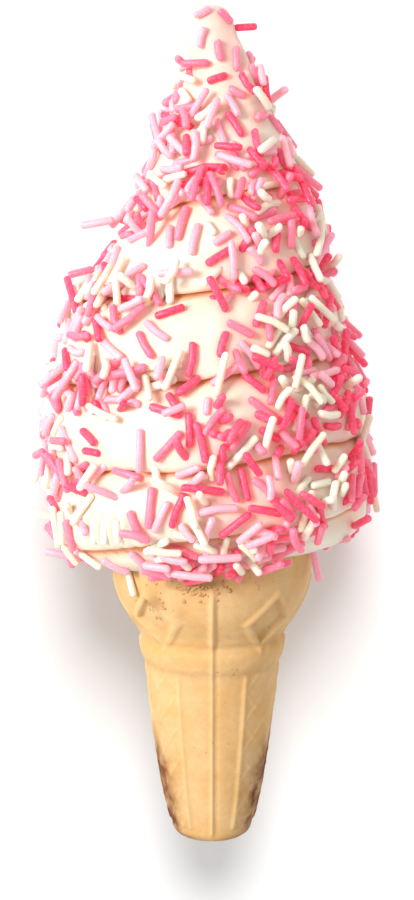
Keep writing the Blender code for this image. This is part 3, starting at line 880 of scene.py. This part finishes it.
def rest_on_cream(line, up, sink):
    """Lift or drop a straight spine until its lowest point is pressed in by the given depth."""
    for _ in range(2):
        line = line + up * (STRAND_RADIUS - sink - surface_heights(line).min()) * MM
    return line


def make_spine(point, normal, heading, length, bow):
    """Middle line of a strand that touches the surface at a point."""
    reach = np.linspace(-1, 1, SPINE_POINTS)
    across = np.array(normal.cross(heading).normalized())
    line = np.outer(reach * length / 2 * MM, np.array(heading))
    return line + np.outer((reach**2 - 0.4) * bow * MM, across) + np.array(point)


def nearest_gap(line, others):
    """The least distance between a spine and the spines round it."""
    return np.linalg.norm(others.reshape(-1, 3)[None] - line[:, None], axis=2).min()


def lean_on_others(line, up, others, most):
    """Raise one end, or all, of a spine until it lies over the strands in its way."""
    reach = np.linspace(-1, 1, SPINE_POINTS)
    raised = 0.0
    for _ in range(10):
        if not len(others):
            return line
        distance = np.linalg.norm(others[None] - line[:, None], axis=2)
        own, other = np.unravel_index(distance.argmin(), distance.shape)
        missing = CLOSEST * MM - distance[own, other]
        if missing <= 0:
            return line
        where = reach[own]
        pivot = 0.5 + 0.5 * where * reach if abs(where) > 0.25 else 0 * reach + 0.7
        step = max(missing, 0.15 * MM) * 0.75
        line = line + np.outer(pivot * step / max(0.5, abs(pivot[own])), up)
        raised += step
        if raised > most * MM:
            return None
    return None


def heading_at(normal, slant):
    """Direction along the surface at a slant to the right of upright."""
    upright = Vector((0, 1, 0)) - normal * normal.y
    return Matrix.Rotation(-math.radians(slant), 3, normal) @ upright.normalized()


def pick_kind(angle, height, creamy):
    """Draw a colour: paler to the left, partly as painted light, and on the tail, more cream in the
    cream spots.
    """
    rightness = float(ease(np.sin(angle), *LEFT_TO_RIGHT))
    on_tail = float(ease(height, *TAIL_HEIGHTS))
    mix = np.array([(LEFT_MIX[kind] * (1 - rightness) + RIGHT_MIX[kind] * rightness) * (1 - on_tail)
                    + TAIL_MIX[kind] * on_tail for kind in SUGAR_SLOTS])
    mix *= 1 - CREAM_SHARE * creamy
    mix[-1] += CREAM_SHARE * creamy
    return list(SUGAR_SLOTS)[dice.choice(len(mix), p=mix / mix.sum())]


def lay_strands():
    """Lay the placed strands, then strew the rest, each clear of those already there."""
    laid = []
    spines = np.empty((0, SPINE_POINTS, 3))
    reserved = len(PLACED_STRANDS) + len(LOOSE_STRANDS)
    for kind, angle, height, slant, length in PLACED_STRANDS:
        point, normal = on_swirl(math.radians(angle), height)
        bow = dice.normal(0, PLACED_BOW)
        line = make_spine(point, normal, heading_at(normal, slant), length, bow)
        line = rest_on_cream(line, np.array(normal), PLACED_SINK)
        lifted = lean_on_others(line, np.array(normal), spines.reshape(-1, 3), PLACED_MOST_RAISED)
        laid.append((kind, dice.uniform(-1, 1)))
        spines = np.concatenate([spines, (line if lifted is None else lifted)[None]])
    for kind, *ends in LOOSE_STRANDS:
        start, end = (lying(np.array(r), np.radians(a), np.array(h))
                      for a, r, h in (ends[:3], ends[3:]))
        share = np.linspace(0, 1, SPINE_POINTS)[:, None]
        laid.append((kind, dice.uniform(-1, 1)))
        spines = np.concatenate([spines, (start * (1 - share) + end * share)[None]])
    for _ in range(STREWN_TRIES):
        angle = dice.uniform(-math.pi, math.pi)
        height = dice.uniform(*STREWN_HEIGHTS)
        chance = curve(SWIRL_RADIUS, height) / WIDEST * sprinkled(angle, height) / FULL_COVER
        if dice.random() > chance:
            continue
        point, normal = on_swirl(angle, height)
        if point is None or point.y < base.y + LOWEST_TOUCH * MM:
            continue
        creamy = max(nearness(spot, angle, height) for spot in CREAM_SPOTS)
        kind = pick_kind(angle, height, creamy)
        length = float(np.clip(dice.normal(STRAND_LENGTH, LENGTH_SPREAD), SHORTEST, LONGEST))
        slant = dice.uniform(-90, 90)
        if abs(slant) > LEVEL_SLANT and dice.random() < ROLLING_CHANCE:
            slant *= 0.5
        heading = heading_at(normal, slant)
        edge = abs(math.sin(angle)) ** 4
        standing = STANDING_CHANCE + STANDING_CHANCE_IF_CREAM * creamy * (kind == "cream")
        stands = dice.random() < standing * (1 - edge)
        if stands:
            across = normal.cross(heading).normalized()
            heading = Matrix.Rotation(-dice.uniform(*STANDING_SLOPE), 3, across) @ heading
            point = point + heading * length * STANDING_SHIFT * MM
        up = np.array(normal)
        line = make_spine(point, normal, heading, length, dice.normal(0, STREWN_BOW))
        if not stands:
            line = rest_on_cream(line, up, dice.uniform(*STREWN_SINK) + SINK_AT_SIDES * edge)
        middles = spines[:, SPINE_POINTS // 2]
        near = np.linalg.norm(middles - line[SPINE_POINTS // 2], axis=1) < NEIGHBOURHOOD * MM
        placed = near[:reserved].nonzero()[0]
        if len(placed) and nearest_gap(line, spines[placed]) < CLOSEST * MM:
            continue
        most = MOST_RAISED + (MOST_RAISED_AT_SIDES - MOST_RAISED) * edge
        line = lean_on_others(line, up, spines[near].reshape(-1, 3), most)
        if line is None or line[:, 2].min() < (STRAND_RADIUS + GROUND_GAP) * MM:
            continue
        if line[:, 1].min() < base.y + LOWEST_END * MM or surface_heights(line).max() > HIGHEST_END:
            continue
        laid.append((kind, dice.uniform(-1, 1)))
        spines = np.concatenate([spines, line[None]])
    return laid, spines


def model_strand():
    """One strand, along Z: a ball drawn out to a rod with blunt round ends."""
    bpy.ops.mesh.primitive_uv_sphere_add(segments=STRAND_SIDES, ring_count=STRAND_RINGS, radius=1.0)
    item = bpy.context.object
    item.name = "strand_pattern"
    points = mesh_points(item)
    level = np.round((1 - np.arccos(np.clip(points[:, 2], -1, 1)) / math.pi) * STRAND_RINGS)
    from_end = np.minimum(level, STRAND_RINGS - level)
    wide = np.select([from_end == 0, from_end == 1], [0.0, 0.70], 1.0)
    inset = np.select([from_end == 0, from_end == 1, from_end == 2], [0.0, 0.2, 0.75], 99.0)
    around = np.maximum(np.hypot(points[:, 0], points[:, 1]), 1e-6)
    points[:, :2] *= (wide / around)[:, None]
    return item, points[:, :2], inset, level


def join_strands(name, pattern, chosen, laid, spines):
    """Copy the pattern along each chosen spine and join the copies into one mesh."""
    item, rims, inset, level = pattern
    faces = [tuple(face.vertices) for face in item.data.polygons]
    vertices = []
    polygons = []
    shades = []
    for number in chosen:
        line = spines[number]
        length = np.linalg.norm(line[-1] - line[0])
        thick = STRAND_RADIUS * MM * (1 + THICKNESS_SPREAD * laid[number][1])
        from_end = np.minimum(inset * thick, length / 2)
        along = np.where(level > STRAND_RINGS / 2, length - from_end, from_end)
        share = along / length * (SPINE_POINTS - 1)
        low = np.clip(share.astype(int), 0, SPINE_POINTS - 2)
        part = (share - low)[:, None]
        centre = line[low] * (1 - part) + line[low + 1] * part
        forward = (line[-1] - line[0]) / length
        side = np.cross(forward, (0.3, 0.2, 0.93))
        side /= np.linalg.norm(side)
        other = np.cross(forward, side)
        start = len(vertices) * len(rims)
        vertices.append(centre + (rims[:, :1] * side + rims[:, 1:] * other) * thick)
        polygons += [tuple(start + i for i in face) for face in faces]
        shades += [laid[number][1]] * len(rims)
    mesh = bpy.data.meshes.new(name)
    mesh.from_pydata(np.concatenate(vertices).tolist(), [], polygons)
    joined = bpy.data.objects.new(name, mesh)
    bpy.context.scene.collection.objects.link(joined)
    store(joined, "shade", shades)
    edit(joined, face_outwards)
    mesh.shade_smooth()
    return joined


def sugar_material(name, colour, other, glow):
    """Sugar paste: each strand a little lighter or darker, with a soft waxy shine.

    The glow stands in for the pink light that dyed strands pass on to each other.
    """
    material, tree, shader = new_material(name)
    where = add_node(tree, "ShaderNodeTexCoord").outputs["Object"]
    shade = add_node(tree, "ShaderNodeAttribute", attribute_name="shade").outputs["Fac"]
    amount = add_node(tree, "ShaderNodeMapRange", {"Value": shade, "From Min": -1.0}).outputs[0]
    tint = blend(tree, amount, colour, other)
    dust = mottle(tree, where, 1400, 2.0, 0.45, 0.75)
    tint = blend(tree, scaled(tree, dust, 0.12), tint, (1.0, 0.9, 0.88, 1))
    tree.links.new(tint, shader.inputs["Base Color"])
    shader.inputs["Roughness"].default_value = 0.42
    shader.inputs["Specular IOR Level"].default_value = 0.45
    shader.inputs["Subsurface Weight"].default_value = 0.8
    shader.inputs["Subsurface Radius"].default_value = (1.0, 0.3, 0.3)
    shader.inputs["Subsurface Scale"].default_value = 3.0 * MM
    tree.links.new(tint, shader.inputs["Emission Color"])
    shader.inputs["Emission Strength"].default_value = glow
    fine = add_node(tree, "ShaderNodeTexNoise", {"Vector": where, "Scale": 2200.0, "Detail": 3.0})
    relief = add_node(tree, "ShaderNodeBump", {"Height": fine.outputs[0], "Strength": 0.25,
                                               "Distance": 0.08 * MM})
    tree.links.new(relief.outputs[0], shader.inputs["Normal"])
    return material


SUGAR_COLOURS = {
    "deep": ((0.99, 0.045, 0.13, 1), (0.99, 0.105, 0.205, 1)),
    "mid": ((0.99, 0.155, 0.26, 1), (0.99, 0.25, 0.345, 1)),
    "pale": ((0.99, 0.36, 0.46, 1), (0.99, 0.48, 0.545, 1)),
    "cream": ((0.90, 0.79, 0.61, 1), (0.93, 0.85, 0.72, 1)),
}
PINK_GLOW = 0.09
laid, spines = lay_strands()
pattern = model_strand()
for kind, (colour, other) in SUGAR_COLOURS.items():
    chosen = [i for i, strand in enumerate(laid) if strand[0] == kind]
    strands = join_strands(f"{kind}_strands", pattern, chosen, laid, spines)
    glow = 0.0 if kind == "cream" else PINK_GLOW
    strands.data.materials.append(sugar_material(f"{kind}_sugar", colour, other, glow))
    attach(strands, "root")
bpy.data.objects.remove(pattern[0])

# The colouring of the pink strands has run a little into the ice cream round them, and has
# tinted the tail. The pink round the strands is also painted pink light bounced from them, and a
# warm painted shade lies low down at the front, under the coil's overhang.
PINK_TINT_REACH = 2.6
OVERHANG_SHADE = 0.8
OVERHANG_SHADE_ANGLE = math.radians(10)
OVERHANG_SHADE_WIDTH = 0.42
OVERHANG_SHADE_HEIGHT = 91.5
OVERHANG_SHADE_HALF_HEIGHT = 7
TAIL_SHADE = 0.8
TINTED_TAIL = (174, 188)
dyed = [i for i, strand in enumerate(laid) if strand[0] in ("deep", "mid")]
tree = KDTree(len(dyed) * SPINE_POINTS)
for number, point in enumerate(spines[dyed].reshape(-1, 3)):
    tree.insert(point, number)
tree.balance()
distance = np.array([tree.find(p)[2] for p in mesh_points(cream)]) / MM
offset = mesh_points(cream) - np.array(base)
height = offset[:, 1] / MM
from_overhang_shade = turn(np.arctan2(offset[:, 0], offset[:, 2]) - OVERHANG_SHADE_ANGLE)
overhang_shade = bump(from_overhang_shade, OVERHANG_SHADE_WIDTH) * bump(height - OVERHANG_SHADE_HEIGHT, OVERHANG_SHADE_HALF_HEIGHT)
dye_and_painted_light = bump(distance, PINK_TINT_REACH) + OVERHANG_SHADE * overhang_shade + TAIL_SHADE * ease(height, *TINTED_TAIL)
store(cream, "blush", np.clip(dye_and_painted_light, 0, 1))


# ---------------------------------------------------------------------------------------------
# Studio: a pale floor with a lamp of its own, a large soft light from the left for the cone,
# and a pale room. The camera looks down on the side that faces up, a little from the tail.

CAMERA_DISTANCE = 450 * MM
CAMERA_TILT = math.radians(9)
AIM_HEIGHT = 95.5 * MM
AIM_SIDE = -1.2 * MM
KEY_PLACE = (-0.54, 0.26, 0.69)
KEY_SIZE = 0.30
KEY_POWER = 8.7
KEY_COLOUR = (1.0, 0.985, 0.96)
KEY_AIM = (0, 0, 0.04)
FLOOR_LIGHT_POWER = 2.3
FLOOR_LIGHT_FROM = (0.0, 0.82, 1.0)
FLOOR_LIGHT_ANGLE = math.radians(22)
ROOM_LIGHT = 0.70

bpy.ops.mesh.primitive_plane_add(size=4.0, location=(0, 0, 0))
floor = bpy.context.object
floor.name = "floor"
floor_material, _, floor_shader = new_material("floor")
floor_shader.inputs["Base Color"].default_value = (0.92, 0.92, 0.92, 1)
floor_shader.inputs["Roughness"].default_value = 0.9
floor_shader.inputs["Specular IOR Level"].default_value = 0.1
floor.data.materials.append(floor_material)

look = Vector((0.0, math.sin(CAMERA_TILT), math.cos(CAMERA_TILT)))
right = Vector((1.0, 0.0, 0.0))
aim = base + Vector((AIM_SIDE, AIM_HEIGHT, 0.0))
camera_data = bpy.data.cameras.new("camera")
camera_data.lens = 75
camera_data.sensor_width = 36
camera_data.clip_start = 0.01
camera = bpy.data.objects.new("camera", camera_data)
bpy.context.scene.collection.objects.link(camera)
facing = Matrix((right, look.cross(right), look)).transposed().to_4x4()
camera.matrix_world = Matrix.Translation(aim + look * CAMERA_DISTANCE) @ facing
bpy.context.scene.camera = camera


def lamp(name, kind, source, power):
    """A lamp that shines from the direction of its source."""
    light = bpy.data.lights.new(name, kind)
    light.energy = power
    item = bpy.data.objects.new(name, light)
    bpy.context.scene.collection.objects.link(item)
    item.rotation_euler = source.to_track_quat("Z", "Y").to_euler()
    return item


key = lamp("key", "AREA", Vector(KEY_PLACE) - Vector(KEY_AIM), KEY_POWER)
key.location = KEY_PLACE
key.data.size = KEY_SIZE
key.data.color = KEY_COLOUR
floor_light = lamp("floor_light", "SUN", Vector(FLOOR_LIGHT_FROM), FLOOR_LIGHT_POWER)
floor_light.data.angle = FLOOR_LIGHT_ANGLE
# The large light leaves out the floor, and the floor's lamp lights nothing else.
for light, state in ((key, "EXCLUDE"), (floor_light, "INCLUDE")):
    receivers = bpy.data.collections.new(f"{light.name}_receivers")
    receivers.objects.link(floor)
    light.light_linking.receiver_collection = receivers
    receivers.collection_objects[0].light_linking.link_state = state

world = bpy.data.worlds.new("room")
world.use_nodes = True
background = world.node_tree.nodes["Background"]
background.inputs["Color"].default_value = (1.0, 1.0, 1.0, 1)
background.inputs["Strength"].default_value = ROOM_LIGHT
bpy.context.scene.world = world
bpy.context.scene.view_settings.view_transform = "Standard"
